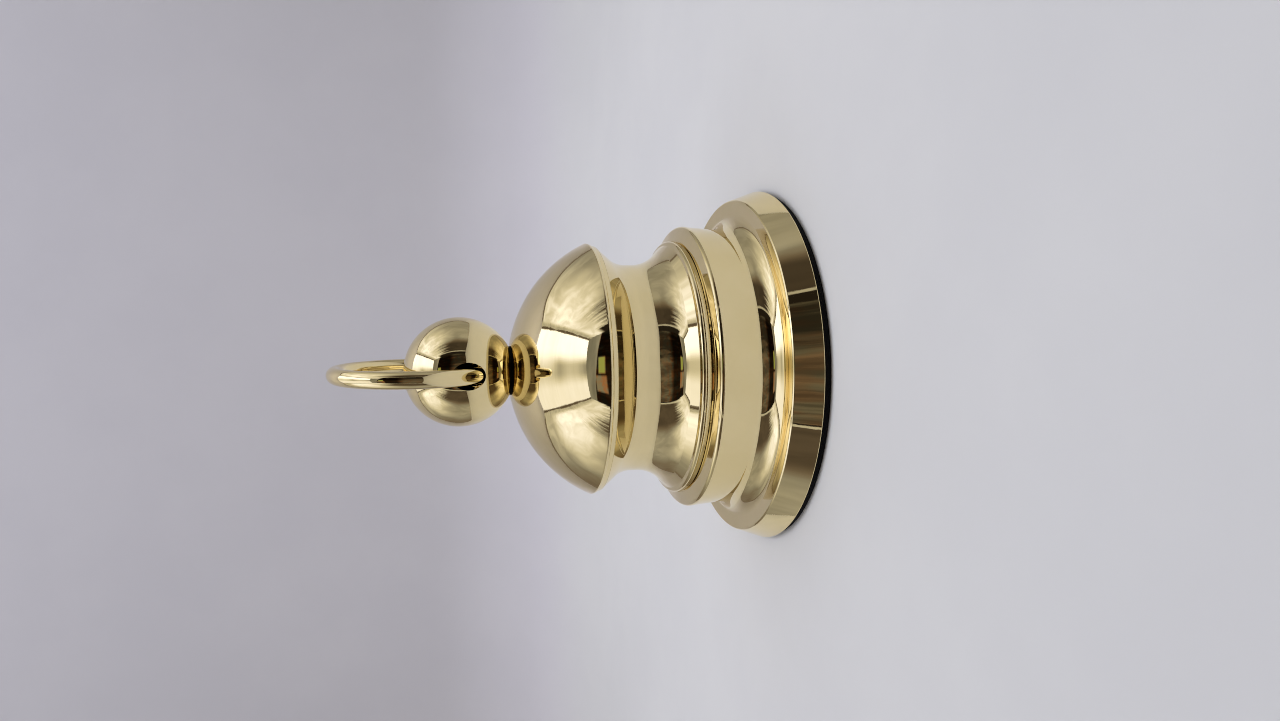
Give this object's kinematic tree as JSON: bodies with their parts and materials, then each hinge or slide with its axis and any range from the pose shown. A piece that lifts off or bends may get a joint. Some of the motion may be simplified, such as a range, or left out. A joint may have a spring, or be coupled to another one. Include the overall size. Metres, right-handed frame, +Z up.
{
  "type": "plumb bob",
  "caption": "Flat-based brass plumb bob with a weighted drum base, a waisted body, a domed cap and a turning ball head that carries a suspension ring.",
  "frame": {"origin": "centre of the pad's underside, on the turning axis", "axes": "+Z up along the turning axis through the ball head; the ring stands in the YZ plane"},
  "size_m": [0.1, 0.1, 0.121],
  "materials": {
    "brass": "mirror polished",
    "steel": "machined",
    "iron": "as cast",
    "bronze": "bearing bronze, machined",
    "felt": "black felt or fibre"
  },
  "bodies": {
    "bob": {"base_pad": "felt", "base_shell": "brass", "base_plate": "steel", "plate_screw_1": "steel", "plate_screw_2": "steel", "plate_screw_3": "steel", "plate_screw_4": "steel", "lower_ballast": "iron", "waist_body": "brass", "upper_ballast": "iron", "tie_bolt": "steel", "tie_washer": "steel", "tie_nut": "steel", "domed_cap": "brass", "spindle_bush": "bronze", "thrust_washer": "felt"},
    "head": {"ball_head": "brass", "keeper_washer": "steel", "castle_nut": "steel", "split_pin": "steel"},
    "ring": {"suspension_ring": "brass"}
  },
  "joints": [
    {"name": "head_swivel", "type": "hinge", "parent": "bob", "child": "head", "pos_m": [0, 0, 0.0732], "axis": [0, 0, 1], "continuous": true},
    {"name": "ring_rock", "type": "hinge", "parent": "head", "child": "ring", "pos_m": [0, 0, 0.0823], "axis": [0, 1, 0], "range_deg": [-8, 8]}
  ]
}
